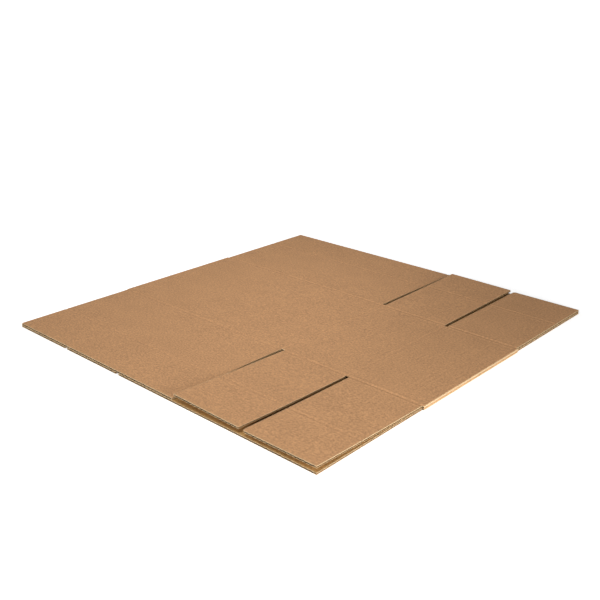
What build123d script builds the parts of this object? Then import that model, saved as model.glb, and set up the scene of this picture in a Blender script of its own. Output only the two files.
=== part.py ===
from build123d import *

import os
from math import atan2, ceil, cos, degrees, floor, radians, sin, sqrt, tan

# A slotted carton of corrugated board, folded flat as it leaves the box maker.
# One creased and slotted sheet is folded into a tube and glued at its tab, so
# it lies two boards thick. X runs across the flutes and Y along them, from the
# near flaps to the far ones. The origin is under the middle of the carton.

# Panels of the made-up carton, from corner to corner
long_panel = 317.0
side_panel = 213.0
body_height = 204.0
flap_length = 173.5

# Board with a single wall of B flutes
board = 2.6
liner = 0.4
medium = 0.3
flute_pitch = 6.5
flute_crest = 1.2

# Creases that the flaps fold on, lighter scores, and the slots between flaps
crease_width = 3.0
crease_depth = 0.3
score_width = 4.0
score_depth = 0.2
tuck_score = 104.5
slot_width = 5.0

# Folded edges, where the board is crushed and bulges either side of its crease
sheet_gap = 0.4
fold_web = 1.2
fold_crush = 5.0

# Glued joint: the tab inside the lower side panel, and the seam seen from below
tab_width = 35.0
tab_inset = 4.0
tab_taper = 14.0
tab_lift = 0.3
seam_gap = 1.5
seam_depth = 1.7

# Spring of the upper flaps beside the slots, in degrees, near end and far end
split_spring = (2.15, 1.1)
corner_spring = (1.5, 0.4)

# Heights: the whole stack, and how far each board's middle is from its middle
stack = 2 * board + sheet_gap
level = (board + sheet_gap) / 2

# Places across the carton. Its lower side is the upper one turned over.
half_width = (long_panel + side_panel) / 2
corner_x = long_panel - half_width
split_x = corner_x + side_panel / 2
flat_end = half_width - fold_crush
slit_end = half_width - level + sqrt(level**2 - (board / 2) ** 2) - fold_web

# Places along the flutes, either side of the crease at each end of the body
body_stop = (body_height - crease_width) / 2
flap_start = (body_height + crease_width) / 2
flap_run = flap_length - crease_width / 2
tuck_run = tuck_score - crease_width / 2

# One cell between two flutes: a trapezoid with its wide side on a liner
flute_height = board - 2 * liner
cell_height = flute_height - medium
flank = atan2(cell_height, flute_pitch / 2 - flute_crest)
cell_base = flute_pitch / 2 + flute_height / tan(flank) - medium / sin(flank)


def cells(left, right, middle=0):
    """Cut the cells of a board that runs from left to right in the sketch in hand."""
    step = flute_pitch / 2
    first = ceil((left + cell_base / 2) / step)
    last = floor((right - cell_base / 2) / step)
    rise = (flute_height - cell_height) / 2
    for half_turn, shift in ((0, -rise), (1, rise)):
        steps = [count for count in range(first, last + 1) if count % 2 == half_turn]
        with Locations(*[(count * step, middle + shift) for count in steps]):
            Trapezoid(
                cell_base,
                cell_height,
                degrees(flank),
                rotation=180 * half_turn,
                mode=Mode.SUBTRACT,
            )


def score_mark(mode=Mode.SUBTRACT):
    """A lozenge across a face, whose inner half is the V of a pressed score."""
    half = score_width / 2
    Polygon((-half, 0), (0, -score_depth), (half, 0), (0, score_depth), align=None, mode=mode)


def make_flap(left, right, side, end, spring):
    """One flap and its crease. Side is 1 above and -1 below, end 1 far and -1 near."""
    left += slot_width / 2
    right -= slot_width / 2
    slope = radians(spring)
    root = Plane(
        (0, end * flap_start, stack / 2 + side * level),
        x_dir=(-end, 0, 0),
        z_dir=(0, end * cos(slope), sin(slope)),
    )
    up = root.y_dir * board / 2
    with BuildPart() as flap:
        # The board in section, drawn out along the slope of the flap
        with BuildSketch(root):
            edges = sorted((-end * left, -end * right))
            with Locations((sum(edges) / 2, 0)):
                Rectangle(right - left, board)
            cells(*edges)
        extrude(amount=flap_run)

        # The lighter score across its outer face
        score = root.origin + root.z_dir * tuck_run + up * side
        with BuildSketch(Plane((left, score.Y, score.Z), x_dir=root.z_dir, z_dir=(1, 0, 0))):
            score_mark(mode=Mode.ADD)
        extrude(amount=right - left, mode=Mode.SUBTRACT)

        # The crease, pinched where the body's crushed end meets the flap
        low = root.origin.Z - board / 2
        with BuildSketch(Plane.YZ.offset(left)):
            Polygon(
                (end * body_stop, low),
                (end * body_height / 2, low + crease_depth),
                (root.origin.Y - up.Y, root.origin.Z - up.Z),
                (root.origin.Y + up.Y, root.origin.Z + up.Z),
                (end * body_height / 2, low + board - crease_depth),
                (end * body_stop, low + board),
                align=None,
            )
        extrude(amount=right - left)
    return flap.part


# The flaps at both ends: left edge, right edge, side, and spring near and far
flap_rows = [
    (-half_width, corner_x, 1, (0, 0)),
    (corner_x, split_x, 1, split_spring),
    (split_x, half_width, 1, corner_spring),
    (-half_width, -split_x, -1, (0, 0)),
    (-split_x, -corner_x, -1, (0, 0)),
    (-corner_x, half_width, -1, (0, 0)),
]
flaps = [
    make_flap(left, right, side, end, spring)
    for left, right, side, springs in flap_rows
    for end, spring in zip((-1, 1), springs)
]

with BuildPart() as flattened_box:
    # The body in section: a flattened tube, open only as a slit between its boards
    with BuildSketch(Plane((0, body_stop, stack / 2), x_dir=(1, 0, 0), z_dir=(0, -1, 0))):
        Rectangle(2 * (half_width - level), stack)
        with GridLocations(2 * (half_width - level), board, 2, 2):
            Circle(level)
        Rectangle(2 * slit_end, sheet_gap, mode=Mode.SUBTRACT)

        # Its cells, which stop short of the folds, the scores and the glued joint
        band = score_width / 2
        cells(-flat_end, corner_x - band, level)
        cells(corner_x + band, split_x - band, level)
        cells(split_x + band, flat_end, level)
        cells(-flat_end, -split_x - band, -level)
        cells(-split_x + band, -corner_x - tab_width - band, -level)
        cells(-corner_x + band, flat_end, -level)

        # The scores along its corners and down the middle of its sides
        with Locations((corner_x, stack / 2), (split_x, stack / 2), (-split_x, -stack / 2)):
            score_mark()
        with Locations((-corner_x - seam_gap / 2, -stack / 2)):
            Rectangle(seam_gap, 2 * seam_depth, mode=Mode.SUBTRACT)
    extrude(amount=2 * body_stop)

    # The tab, crushed and glued down inside, with its ends cut back
    tab_end = body_stop - tab_inset
    with BuildSketch(Plane.XY.offset(board)):
        with Locations((-corner_x, 0)):
            Polygon(
                (0, -tab_end),
                (0, tab_end),
                (-tab_width, tab_end - tab_taper),
                (-tab_width, tab_taper - tab_end),
                align=None,
            )
    extrude(amount=tab_lift)

    # The flaps, each met by the body along its crease
    add(flaps)

flattened_box.part.label = "flattened_box"
print(f"{len(flattened_box.part.faces())} faces, {flattened_box.part.volume:.0f} cubic mm")

os.makedirs("parts", exist_ok=True)
export_step(flattened_box.part, "parts/flattened_box.step")
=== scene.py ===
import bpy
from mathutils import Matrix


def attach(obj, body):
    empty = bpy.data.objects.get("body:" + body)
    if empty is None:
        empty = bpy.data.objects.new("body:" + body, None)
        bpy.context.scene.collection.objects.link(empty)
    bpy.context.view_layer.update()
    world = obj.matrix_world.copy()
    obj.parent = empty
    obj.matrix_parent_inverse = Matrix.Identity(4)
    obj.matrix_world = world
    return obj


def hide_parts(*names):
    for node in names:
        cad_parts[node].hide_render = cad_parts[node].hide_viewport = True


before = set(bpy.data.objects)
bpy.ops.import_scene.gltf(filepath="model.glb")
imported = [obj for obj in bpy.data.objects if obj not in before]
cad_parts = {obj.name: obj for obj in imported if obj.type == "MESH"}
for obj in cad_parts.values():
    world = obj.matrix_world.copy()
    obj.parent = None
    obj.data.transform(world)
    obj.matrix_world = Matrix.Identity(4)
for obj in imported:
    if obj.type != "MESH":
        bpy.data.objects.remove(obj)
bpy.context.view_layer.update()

from math import pi, radians, sin

import bmesh
import bpy
import numpy as np
from mathutils import Matrix, Vector

scene = bpy.context.scene
scene.view_settings.view_transform = "Standard"

# The camera stands at the near right of the carton and looks down its diagonal, as in the
# photograph. Its place and lens were fitted to the carton's corners, creases and slots.
MM = 0.001
CAMERA_PLACE = Vector((716.7, -795.5, 448.1)) * MM
CAMERA_YAW = radians(42.47)
CAMERA_PITCH = radians(21.35)
CAMERA_ROLL = radians(0.18)
PICTURE_WIDTH = 600
FOCAL_PIXELS = 850.9

camera_data = bpy.data.cameras.new("camera")
camera_data.sensor_width = 36
camera_data.lens = camera_data.sensor_width * FOCAL_PIXELS / PICTURE_WIDTH
camera_data.clip_start = 0.01
camera = bpy.data.objects.new("camera", camera_data)
camera.matrix_world = (
    Matrix.Translation(CAMERA_PLACE)
    @ Matrix.Rotation(CAMERA_YAW, 4, "Z")
    @ Matrix.Rotation(pi / 2 - CAMERA_PITCH, 4, "X")
    @ Matrix.Rotation(CAMERA_ROLL, 4, "Z")
)
scene.collection.objects.link(camera)
scene.camera = camera


# The studio is a plain white floor under soft light. A low softbox overhead and a small one in
# front give the top its fall towards the far right, those on the left and near side light the
# ends of the flutes, and one on the right picks out the folded edge and the cut sides.
FLOOR_WIDTH = 60.0
FLOOR_COLOUR = "#F0F0F0"
FILL = 0.2
GLOW_NEAR = 0.6
GLOW_FAR = 1.0
GLOW_RUN = (0.3, 1.0)


def linear(colour):
    """A hex sRGB colour as linear red, green, blue and alpha."""
    parts = [int(colour[place : place + 2], 16) / 255 for place in (1, 3, 5)]
    return [part / 12.92 if part <= 0.04045 else ((part + 0.055) / 1.055) ** 2.4 for part in parts] + [1]


def add_node(tree, kind, settings=(), values=(), links=()):
    """Add a node. Settings are its own, values go in its sockets, links join sockets to outputs."""
    node = tree.nodes.new(kind)
    for name, value in dict(settings).items():
        setattr(node, name, value)
    for socket, value in dict(values).items():
        node.inputs[socket].default_value = value
    for socket, output in dict(links).items():
        tree.links.new(output, node.inputs[socket])
    return node


def new_material(name):
    """A material with an empty tree and its output."""
    material = bpy.data.materials.new(name)
    material.use_nodes = True
    material.node_tree.nodes.clear()
    output = add_node(material.node_tree, "ShaderNodeOutputMaterial")
    return material, material.node_tree, output


def backdrop_rays(tree):
    """1 for the rays that see the backdrop: the camera's, and those off gloss and through glass."""
    rays = add_node(tree, "ShaderNodeLightPath")
    seen = rays.outputs["Is Camera Ray"]
    for kind in ("Is Glossy Ray", "Is Transmission Ray"):
        both = {0: seen, 1: rays.outputs[kind]}
        seen = add_node(tree, "ShaderNodeMath", {"operation": "MAXIMUM"}, links=both).outputs[0]
    return seen


def floor_material():
    """White card, a little brighter to the camera, and more so away from the carton."""
    material, tree, output = new_material("white card")
    card = add_node(tree, "ShaderNodeBsdfDiffuse", values={"Color": linear(FLOOR_COLOUR)})
    place = add_node(tree, "ShaderNodeTexCoord").outputs["Object"]
    reach = add_node(tree, "ShaderNodeVectorMath", {"operation": "LENGTH"}, links={0: place})
    glow = add_node(
        tree,
        "ShaderNodeMapRange",
        {"interpolation_type": "SMOOTHSTEP"},
        {"From Min": GLOW_RUN[0], "From Max": GLOW_RUN[1], "To Min": GLOW_NEAR, "To Max": GLOW_FAR},
        {"Value": reach.outputs["Value"]},
    )
    factors = {0: glow.outputs[0], 1: backdrop_rays(tree)}
    strength = add_node(tree, "ShaderNodeMath", {"operation": "MULTIPLY"}, links=factors)
    veil = add_node(tree, "ShaderNodeEmission", links={"Strength": strength.outputs[0]})
    both = add_node(tree, "ShaderNodeAddShader", links={0: card.outputs[0], 1: veil.outputs[0]})
    tree.links.new(both.outputs[0], output.inputs["Surface"])
    return material


def add_light(name, place, target, width, height, watts):
    """A soft white rectangular light that faces its target."""
    data = bpy.data.lights.new(name, "AREA")
    data.shape = "RECTANGLE"
    data.size = width
    data.size_y = height
    data.energy = watts
    light = bpy.data.objects.new(name, data)
    light.location = place
    light.rotation_euler = (Vector(target) - Vector(place)).to_track_quat("-Z", "Y").to_euler()
    light.visible_camera = False
    scene.collection.objects.link(light)


floor_mesh = bpy.data.meshes.new("floor")
floor_grid = bmesh.new()
bmesh.ops.create_grid(floor_grid, x_segments=1, y_segments=1, size=FLOOR_WIDTH / 2)
floor_grid.to_mesh(floor_mesh)
floor_grid.free()
floor_mesh.materials.append(floor_material())
floor = bpy.data.objects.new("floor", floor_mesh)
scene.collection.objects.link(floor)

add_light("overhead", (-0.05, 0.1, 0.44), (-0.6, -0.19, 0.0), 0.4, 0.4, 1.0)
add_light("left", (-1.39, 0.0, 1.39), (0.0, 0.0, 0.0), 0.8, 0.8, 3.0)
add_light("near", (-1.15, -2.1, 0.55), (0.0, 0.0, 0.0), 0.6, 0.4, 29.0)
add_light("right", (0.92, -0.26, 0.16), (0.2, 0.0, 0.0), 0.6, 0.25, 6.7)
add_light("front", (0.19, -0.38, 0.5), (0.2, -0.2, 0.0), 0.3, 0.3, 0.95)

world = bpy.data.worlds.new("studio")
world.use_nodes = True
world.node_tree.nodes.clear()
world_strength = add_node(
    world.node_tree,
    "ShaderNodeMath",
    {"operation": "MULTIPLY_ADD"},
    {1: 1 - FILL, 2: FILL},
    {0: backdrop_rays(world.node_tree)},
)
world_white = add_node(
    world.node_tree,
    "ShaderNodeBackground",
    values={"Color": linear("#FFFFFF")},
    links={"Strength": world_strength.outputs[0]},
)
add_node(world.node_tree, "ShaderNodeOutputWorld", links={"Surface": world_white.outputs[0]})
scene.world = world


# The outer liner is the brown paper that faces the outside of the whole carton: it runs over the
# top, round both folded edges and across the underside. It is built as the flat blank, slotted as
# the knives cut it, and then folded. All lengths of the blank are in millimetres.
LONG_PANEL = 317.0
SIDE_PANEL = 213.0
BODY_HEIGHT = 204.0
FLAP_LENGTH = 173.5
BOARD = 2.6
LINER = 0.3
SHEET_GAP = 0.4
SLOT_WIDTH = 5.0
TUCK_SCORE = 104.5
TAB_WIDTH = 35.0
TAB_INSET = 4.0
TAB_TAPER = 14.0
SEAM_GAP = 1.5

# Pressed lines are wide and shallow, with a low shoulder on either side of the groove
LINE_WIDTH = 8.0
CREASE_DEPTH = 0.42
TUCK_DEPTH = 0.33
SCORE_DEPTH = 0.25

# A knife presses its edges down a little, and bares pale fibre along their lip
EDGE_WIDTH = 2.4
EDGE_DEPTH = 0.2
LIP = 0.35

# How far daylight reaches into the board from a slot, where the painted shade inside the board stops
DAYLIGHT = 3.0

# At a folded edge the outer face swings out into two ridges, with a groove between them
FOLD_SWING = radians(156)
FOLD_GROOVE = 0.1

# The tab is crushed to this share of the board, over this run
TAB_CRUSH = 0.24
TAB_BEND = 3.0

# Heights of the stack's middle and of each board's middle from it, then places across the blank
MIDDLE = BOARD + SHEET_GAP / 2
LEVEL = (BOARD + SHEET_GAP) / 2
HALF_WIDTH = (LONG_PANEL + SIDE_PANEL) / 2
CORNER_X = LONG_PANEL - HALF_WIDTH
SPLIT_X = CORNER_X + SIDE_PANEL / 2
CREASE_Y = BODY_HEIGHT / 2
TUCK_Y = CREASE_Y + TUCK_SCORE
END_Y = CREASE_Y + FLAP_LENGTH
FOLD_START = HALF_WIDTH - LEVEL
FOLD_RUN = 8.0
FULL_TURN = 2 * FOLD_START + FOLD_RUN
RIGHT_EDGE = FULL_TURN + CORNER_X
LEFT_EDGE = -FULL_TURN + CORNER_X + SEAM_GAP
LOWER_SPLIT = SPLIT_X - FULL_TURN
TAB_END = RIGHT_EDGE + TAB_WIDTH

# Slots: span across the blank, and how far from the middle they start at the near and far end.
# The slots of the upper side stop a little short of the crease or run past it.
HALF_SLOT = SLOT_WIDTH / 2
SLOTS = [
    (LEFT_EDGE, CORNER_X - FULL_TURN + HALF_SLOT, CREASE_Y, CREASE_Y),
    (LOWER_SPLIT - HALF_SLOT, LOWER_SPLIT + HALF_SLOT, CREASE_Y, CREASE_Y),
    (HALF_WIDTH - FULL_TURN - HALF_SLOT, -HALF_WIDTH + HALF_SLOT, CREASE_Y, CREASE_Y),
    (CORNER_X - HALF_SLOT, CORNER_X + HALF_SLOT, 100.0, 105.5),
    (SPLIT_X - HALF_SLOT, SPLIT_X + HALF_SLOT, 102.5, 101.0),
    (HALF_WIDTH - HALF_SLOT, FULL_TURN - HALF_WIDTH + HALF_SLOT, CREASE_Y, CREASE_Y),
    (RIGHT_EDGE - HALF_SLOT, TAB_END, CREASE_Y, CREASE_Y),
]
UPPER_SLOTS = SLOTS[3:5]
SCORES = [LOWER_SPLIT, CORNER_X, SPLIT_X]

# How far the sprung flaps of the upper side stand up: at their left and right corner, by end.
# SPRING_START is the share of the rise that is straight, and the rest curls up towards the end.
SPRUNG_FLAPS = [
    (CORNER_X, SPLIT_X, {-1: (6.4, 4.8), 1: (3.4, 2.3)}),
    (SPLIT_X, HALF_WIDTH, {-1: (3.8, 4.5), 1: (0.9, 0.3)}),
]
SPRING_START = 0.45

# The upper side arches over the air inside, and dies away along the flaps
ARCH = 0.9
ARCH_END = 0.9

# The tab lifts the upper side in a low ridge, with slopes at its left, its right and its ends
TAB_RIDGE = 0.8
RIDGE_LEFT = 8
RIDGE_RIGHT = 5
RIDGE_END = 4

# The rounded corners of the right upper flaps, and the pull on the near middle flap's corner
CORNER_ROUND = 4.0
CORNER_PULL = 2.0

# A face is on the cut rim if its normal rises less than RIM_TILT, and on the side of a slot if it
# also points across the blank by more than SIDE_TILT. Edges past SHARP_ANGLE stay crisp.
RIM_TILT = 0.3
SIDE_TILT = 0.7
SLOT_MARGIN = 1
SHARP_ANGLE = radians(40)


def lattice(start, stop, spacing, lines):
    """Places from start to stop about a spacing apart, with one at each of the lines."""
    stops = sorted({start, stop, *(line for line in lines if start < line < stop)})
    places = [start]
    for low, high in zip(stops, stops[1:]):
        count = max(1, round((high - low) / spacing))
        places += [low + (high - low) * step / count for step in range(1, count + 1)]
    return places


def mark_lines(centres, width, parts):
    """Lines that divide a band of that width at each centre into that many parts."""
    return [centre + width * (step / parts - 0.5) for centre in centres for step in range(parts + 1)]


def cut_blank(columns, rows):
    """The flat blank as a grid with those columns and rows, its slots cut out."""
    blank = bmesh.new()
    across = len(columns) - 1
    along = len(rows) - 1
    bmesh.ops.create_grid(blank, x_segments=across, y_segments=along, size=0.5)
    for vert in blank.verts:
        vert.co.x = columns[round((vert.co.x + 0.5) * across)]
        vert.co.y = rows[round((vert.co.y + 0.5) * along)]
    waste = []
    for face in blank.faces:
        centre = face.calc_center_median()
        for low, high, near, far in SLOTS:
            if low < centre.x < high and not -near < centre.y < far:
                waste.append(face)
    bmesh.ops.delete(blank, geom=waste, context="FACES")
    return blank


def ease(values, low, high):
    """A smooth climb from 0 at low to 1 at high."""
    part = np.clip((values - low) / (high - low), 0, 1)
    return part * part * (3 - 2 * part)


def pressed(distance, depth):
    """Depth of a pressed line by distance from its middle, below zero on its shoulders."""
    reach = np.clip(np.abs(distance) / LINE_WIDTH, 0, 1)
    return depth * np.cos(2 * pi * reach) * (0.5 + 0.5 * np.cos(pi * reach))


def cut_distance(s, y):
    """How far a point of the blank is from the nearest cut edge."""
    ends = np.abs(y)
    edge = END_Y - ends
    for low, high, near, far in SLOTS:
        aside = np.maximum(low - s, s - high)
        short = np.where(y < 0, near, far) - ends
        edge = np.minimum(edge, np.maximum(aside, short))
    return edge


def pressed_in(s, y):
    """How far either face of the board is pressed in by its lines and its cut edges."""
    ends = np.abs(y)
    depth = pressed(ends - CREASE_Y, CREASE_DEPTH) + pressed(ends - TUCK_Y, TUCK_DEPTH)
    for score in SCORES:
        depth += pressed(s - score, SCORE_DEPTH) * (ends < CREASE_Y)
    return depth + EDGE_DEPTH * (1 - np.clip(cut_distance(s, y) / EDGE_WIDTH, 0, 1)) ** 2


def trim_corners(s, y):
    """The right upper flaps' rounded corners, the near middle flap's pulled one and the tab's taper."""
    across = np.clip(1 - (s - SPLIT_X - HALF_SLOT) / CORNER_ROUND, 0, 1) * (s > SPLIT_X)
    along = np.clip(1 - (END_Y - np.abs(y)) / CORNER_ROUND, 0, 1)
    inward = np.maximum(across, along) / np.maximum(np.hypot(across, along), 0.001) - 1
    s = s - across * inward * CORNER_ROUND * (along > 0)
    y = y + along * inward * CORNER_ROUND * np.sign(y) * (across > 0)

    beside = (s > CORNER_X) & (s < SPLIT_X) & (y < -CREASE_Y)
    share = np.clip((s - CORNER_X) / (SPLIT_X - CORNER_X), 0, 1)
    run = np.clip((-y - CREASE_Y) / FLAP_LENGTH, 0, 1)
    s = s - np.where(beside, CORNER_PULL * (1 - share) * run, 0)

    taper = TAB_INSET + TAB_TAPER * np.clip((s - RIGHT_EDGE) / TAB_WIDTH, 0, 1)
    return s, y * np.where(s > RIGHT_EDGE, 1 - taper / CREASE_Y, 1)


def rise_of(x, y):
    """How far the upper side stands above flat: its arch, its sprung flaps, the ridge of the tab."""
    ends = np.abs(y)
    run = np.clip((ends - CREASE_Y) / FLAP_LENGTH, 0, 1)
    bend = SPRING_START * run + (1 - SPRING_START) * run**2
    rise = ARCH * (1 - np.clip(x / FOLD_START, -1, 1) ** 2) * (1 - ease(run, 0.0, ARCH_END))
    for left, right, corners in SPRUNG_FLAPS:
        share = np.clip((x - left) / (right - left), 0, 1)
        for end, (low, high) in corners.items():
            inside = (x > left) & (x <= right) & (y * end > 0)
            rise += np.where(inside, (low + (high - low) * share) * bend, 0)
    tab_side = -CORNER_X - TAB_WIDTH
    slope = ease(x, tab_side - RIDGE_LEFT, tab_side) * (1 - ease(x, -CORNER_X, -CORNER_X + RIDGE_RIGHT))
    return rise + TAB_RIDGE * slope * (1 - ease(ends, CREASE_Y - TAB_TAPER, CREASE_Y + RIDGE_END))


def fold_flat(mesh):
    """Fold a layer of the blank into the flat carton, and turn millimetres to metres.

    A point of the blank is its place across it, its place along the flutes, and its height
    from the middle of the board, outer face up. Beyond FOLD_START it turns round a folded
    edge, where the outer face bulges in two ridges and the inner face is pinched.
    """
    points = np.empty(len(mesh.vertices) * 3)
    mesh.vertices.foreach_get("co", points)
    s, y, n = points.reshape(-1, 3).T
    half = BOARD / 2
    reach = np.abs(s)
    upper = reach <= FOLD_START
    lower = reach >= FOLD_START + FOLD_RUN

    # Paper is paler where it is cut, from its bared fibre, and a pale painted highlight runs along the two
    # ridges of a fold
    turn = np.clip((reach - FOLD_START) / FOLD_RUN, 0, 1)
    worn_and_highlit = np.maximum(1 - cut_distance(s, y) / LIP, np.sin(2 * pi * turn) ** 2)
    mesh.attributes.new("lip_wear_and_ridge_highlight", "FLOAT", "POINT").data.foreach_set("value", np.clip(worn_and_highlit, 0, 1))

    # Only the upper side has room for the shoulders of its lines, and the tab is crushed
    tab = ease(s, RIGHT_EDGE - TAB_BEND, RIGHT_EDGE + SEAM_GAP)
    squeeze = 1 - pressed_in(s, y) / half
    n = n * np.where(upper, squeeze, np.minimum(squeeze, 1)) * (1 - (1 - TAB_CRUSH) * tab)
    lift = (LEVEL + SHEET_GAP / 2 + (TAB_CRUSH * half - SHEET_GAP)) * tab
    s, y = trim_corners(s, y)
    reach = np.abs(s)

    swing = FOLD_SWING * (1 - np.abs(2 * turn - 1))
    ridge = (MIDDLE - FOLD_GROOVE) / 2
    outer_x = LEVEL * np.sin(swing)
    outer_z = np.sign(0.5 - turn) * (FOLD_GROOVE + ridge + ridge * np.cos(swing))
    inner_x = SHEET_GAP / 2 * np.sin(pi * turn)
    inner_z = SHEET_GAP / 2 * np.cos(pi * turn)
    share = (n + half) / BOARD
    turned_x = FOLD_START + inner_x + (outer_x - inner_x) * share
    turned_z = inner_z + (outer_z - inner_z) * share

    x = np.sign(s) * np.where(upper, reach, np.where(lower, FULL_TURN - reach, turned_x))
    z = np.where(upper, LEVEL + n, np.where(lower, lift - LEVEL - n, turned_z))
    z += MIDDLE + np.where(upper, rise_of(x, y), 0)
    mesh.vertices.foreach_set("co", (np.stack([x, y, np.maximum(z, 0)], 1) * MM).ravel())
    mesh.update()


def thicken(layer, thickness, middle):
    """Give a layer its thickness about that height, with a material of its own on its cut rim.

    That is material 3, a darker painted shade, on the sides of the upper slots and material 1 elsewhere.
    """
    bmesh.ops.solidify(layer, geom=layer.faces[:], thickness=thickness)
    heights = [vert.co.z for vert in layer.verts]
    shift = middle - (min(heights) + max(heights)) / 2
    bmesh.ops.translate(layer, vec=(0, 0, shift), verts=layer.verts[:])
    bmesh.ops.recalc_face_normals(layer, faces=layer.faces[:])
    layer.normal_update()
    for face in layer.faces:
        if abs(face.normal.z) < RIM_TILT:
            place = face.calc_center_median().x
            shaded_slot_side = any(low - SLOT_MARGIN < place < high + SLOT_MARGIN for low, high, _, _ in UPPER_SLOTS)
            face.material_index = 3 if shaded_slot_side and abs(face.normal.x) > SIDE_TILT else 1


def shade_inside(layer, sides):
    """Give material 2, a painted shade, to the faces that look into the board on those sides, out of
    daylight.

    Daylight reaches the last flute along a slot, where that paper keeps its own colour.
    """
    for face in layer.faces:
        if face.material_index == 0 and face.normal.z * sides >= 0:
            centre = face.calc_center_median()
            beside = any(
                low - DAYLIGHT < centre.x < high + DAYLIGHT and not -near < centre.y < far
                for low, high, near, far in SLOTS
            )
            if not beside:
                face.material_index = 2


def add_piece(name, layer, materials):
    """A piece of the carton from a layer of its blank, which rides on the carton's one body."""
    mesh = bpy.data.meshes.new(name)
    layer.to_mesh(mesh)
    layer.free()
    fold_flat(mesh)
    mesh.shade_smooth()
    mesh.set_sharp_from_angle(angle=SHARP_ANGLE)
    for material in materials:
        mesh.materials.append(material)
    piece = bpy.data.objects.new(name, mesh)
    scene.collection.objects.link(piece)
    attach(piece, "root")
    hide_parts("flattened_box")


def paper_material(name, light, dark, worn_and_highlit, grain, ripple=0.0):
    """Uncoated paper: a fibrous sheet without gloss, mottled where its fibres clump.

    The grain lists clump length along the web, clump width and share of the tone, the
    ripple is how far the flutes print through, and the third colour, after light and dark, is that of bared
    fibre along its cut lips and of the highlight painted along its fold ridges.
    """
    material, tree, output = new_material(name)
    place = add_node(tree, "ShaderNodeTexCoord").outputs["Object"]
    tone = None
    for length, width, share in grain:
        scale = (1 / (length * MM), 1 / (width * MM), 1 / (width * MM))
        web = add_node(tree, "ShaderNodeVectorMath", {"operation": "MULTIPLY"}, {1: scale}, {0: place})
        clumps = add_node(
            tree,
            "ShaderNodeTexNoise",
            values={"Scale": 1.0, "Detail": 1.0},
            links={0: web.outputs[0]},
        )

        # The first clumps are centred on the middle tone, and the others are added to them
        links = {0: clumps.outputs[0]}
        values = {1: share, 2: 0.5 - sum(share for _, _, share in grain) / 2}
        if tone:
            links[2] = tone
        tone = add_node(tree, "ShaderNodeMath", {"operation": "MULTIPLY_ADD"}, values, links).outputs[0]
    sheet = add_node(
        tree,
        "ShaderNodeMix",
        {"data_type": "RGBA"},
        {"A": linear(dark), "B": linear(light)},
        {"Factor": tone},
    )
    lip_wear_and_ridge_highlight = add_node(tree, "ShaderNodeAttribute", {"attribute_name": "lip_wear_and_ridge_highlight"}).outputs["Fac"]
    colour = add_node(
        tree,
        "ShaderNodeMix",
        {"data_type": "RGBA"},
        {"B": linear(worn_and_highlit)},
        {"Factor": lip_wear_and_ridge_highlight, "A": sheet.outputs["Result"]},
    )
    flutes = add_node(
        tree,
        "ShaderNodeTexWave",
        {"wave_type": "BANDS", "bands_direction": "X"},
        {"Scale": 2 * pi / (WAVE_RATE * FLUTE_PITCH * MM), "Distortion": 0.0},
        {"Vector": place},
    )
    height = add_node(
        tree,
        "ShaderNodeMath",
        {"operation": "MULTIPLY_ADD"},
        {1: ripple / FIBRE_RELIEF},
        {0: flutes.outputs["Fac"], 2: tone},
    )
    relief = add_node(
        tree,
        "ShaderNodeBump",
        values={"Strength": 1.0, "Distance": FIBRE_RELIEF * MM},
        links={"Height": height.outputs[0]},
    )
    paper = add_node(
        tree,
        "ShaderNodeBsdfPrincipled",
        values={"Roughness": PAPER_ROUGHNESS, "Specular IOR Level": PAPER_SHEEN},
        links={"Base Color": colour.outputs["Result"], "Normal": relief.outputs[0]},
    )
    tree.links.new(paper.outputs[0], output.inputs["Surface"])
    return material


# The flutes' spacing, how far they print through, and the height of the fibres' relief, all in
# millimetres. A band pattern of scale 1 turns WAVE_RATE radians a metre.
FLUTE_PITCH = 6.5
FLUTE_PRINT = 0.1
FIBRE_RELIEF = 0.012
WAVE_RATE = 20
PAPER_ROUGHNESS = 0.82
PAPER_SHEEN = 0.25
# Pale colour of bared fibre along cut lips, also painted along the fold ridges as a highlight
PALE_WEAR_AND_HIGHLIGHT = "#D9BE95"

# Clumps of fibre, in millimetres. Single fibres are under 0.05 mm wide and too fine to draw, so
# the clumps that they settle in stand for them.
web_grain = [(40, 25, 0.3), (3.2, 2.0, 1.5), (1.8, 1.2, 1.5)]

# Unbleached kraft, the brown face of the carton: matt, faintly mottled, flutes just showing through
kraft = paper_material("kraft liner", "#D09D6E", "#A57C57", PALE_WEAR_AND_HIGHLIGHT, web_grain, FLUTE_PRINT)

# The same paper where a knife cut it: fibre ends, paler than the face and without direction
cut_edge = paper_material("cut edge", "#DCC096", "#BC9C72", "#DCC096", [(1.2, 1.2, 1.2)])

# Painted shade: paper shut inside the board, where no daylight falls, is coloured nearly black behind the
# flutes' ends for the shade there
painted_shade_inside = paper_material("painted shade inside", "#2C1F14", "#1E140C", "#A67C52", [(3.0, 2.0, 0.8)])

# The sides of the upper slots: a dull brown darker than the cut edge, painted shade for the shade that
# falls into the slots
shaded_slot_wall = paper_material("slot wall painted shade", "#8F7858", "#6E5A3E", "#8F7858", [(1.2, 1.2, 1.2)])
papers = [cut_edge, painted_shade_inside, shaded_slot_wall]

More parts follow.
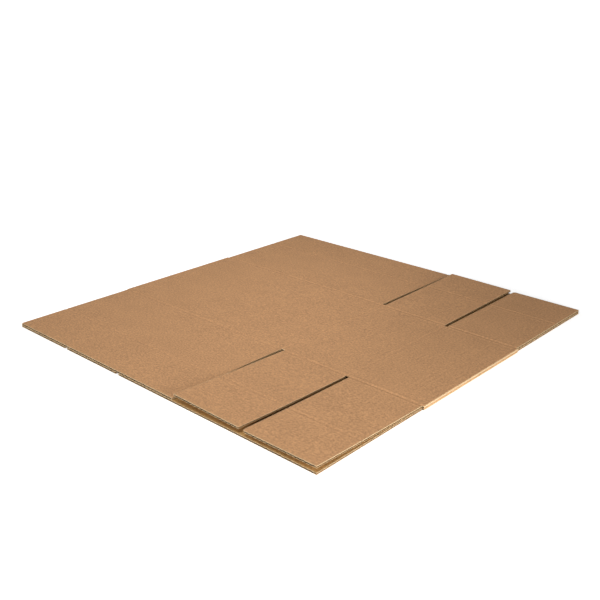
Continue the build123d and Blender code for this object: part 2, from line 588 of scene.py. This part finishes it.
# The grid of the blank is coarse on its plain faces, and fine at its edges, folds and lines
LINER_SPACING = 9.0
EDGE_PARTS = 3
FOLD_PARTS = 16
TAB_PARTS = 6
LINE_PARTS = 16
SIDES = (-1, 1)
edge_steps = [EDGE_WIDTH * step / EDGE_PARTS for step in range(EDGE_PARTS + 1)]
fold_steps = [FOLD_RUN * step / FOLD_PARTS for step in range(FOLD_PARTS + 1)]
tab_steps = [(TAB_BEND + SEAM_GAP) * step / TAB_PARTS for step in range(TAB_PARTS + 1)]
slot_edges = [edge for low, high, _, _ in SLOTS for edge in (low, high)]
edge_lines = [edge + side * step for edge in slot_edges for side in SIDES for step in edge_steps]
fold_lines = [side * (FOLD_START + step) for side in SIDES for step in fold_steps]
tab_lines = [RIGHT_EDGE - TAB_BEND + step for step in tab_steps]
end_lines = [side * (END_Y - step) for side in SIDES for step in edge_steps]
score_lines = mark_lines(SCORES, 2 * LINE_WIDTH, LINE_PARTS)
cross_lines = mark_lines([-TUCK_Y, -CREASE_Y, CREASE_Y, TUCK_Y], 2 * LINE_WIDTH, LINE_PARTS)
liner_columns = lattice(
    LEFT_EDGE,
    TAB_END,
    LINER_SPACING,
    edge_lines + fold_lines + tab_lines + score_lines,
)
liner_rows = lattice(-END_Y, END_Y, LINER_SPACING, cross_lines + end_lines)

outer = cut_blank(liner_columns, liner_rows)
thicken(outer, LINER, (BOARD - LINER) / 2)
shade_inside(outer, -1)
add_piece("outer_liner", outer, [kraft, *papers])


# The inner liner faces the inside of the tube. It is brown paper too, glued to the other side of
# the flutes, and shows where the upper flaps have sprung off the lower ones.

# Kraft with more recycled fibre: matt, a little yellower, smooth over the flutes
inside = paper_material("inside liner", "#D6AA6C", "#A67D47", PALE_WEAR_AND_HIGHLIGHT, web_grain)
inner = cut_blank(liner_columns, liner_rows)
thicken(inner, LINER, (LINER - BOARD) / 2)
shade_inside(inner, 1)
add_piece("inner_liner", inner, [inside, *papers])


# The medium is the wavy paper between the liners. Its flutes run from the near ends of the flaps
# to the far ones and show as a row of cells there, and it stops at the crushed folds.
MEDIUM = 0.28
MEDIUM_SPACING = 30
FLUTE_PARTS = 8

# The wave would rise this many times as high as the board allows, so its crests are flat
FLANK = 1.5

# Thin recycled paper, steamed soft to take its waves: matt and plain, seen almost only on end
fluting = paper_material("fluting", "#C29A68", "#9C7546", PALE_WEAR_AND_HIGHLIGHT, [(3.0, 2.0, 0.8)])
flute_reach = BOARD / 2 - LINER - MEDIUM / 2
medium_rows = lattice(-END_Y, END_Y, MEDIUM_SPACING, cross_lines[::2] + end_lines)
for name, low, high in (
    ("upper_flutes", -FOLD_START, FOLD_START),
    ("lower_right_flutes", FULL_TURN - FOLD_START, RIGHT_EDGE - TAB_BEND),
    ("lower_left_flutes", LEFT_EDGE, FOLD_START - FULL_TURN),
):
    waves = cut_blank(lattice(low, high, FLUTE_PITCH / FLUTE_PARTS, slot_edges), medium_rows)
    for vert in waves.verts:
        swing = FLANK * sin(2 * pi * vert.co.x / FLUTE_PITCH)
        vert.co.z = flute_reach * min(1, max(-1, swing))
    thicken(waves, MEDIUM, 0)
    shade_inside(waves, 0)
    add_piece(name, waves, [fluting, *papers])
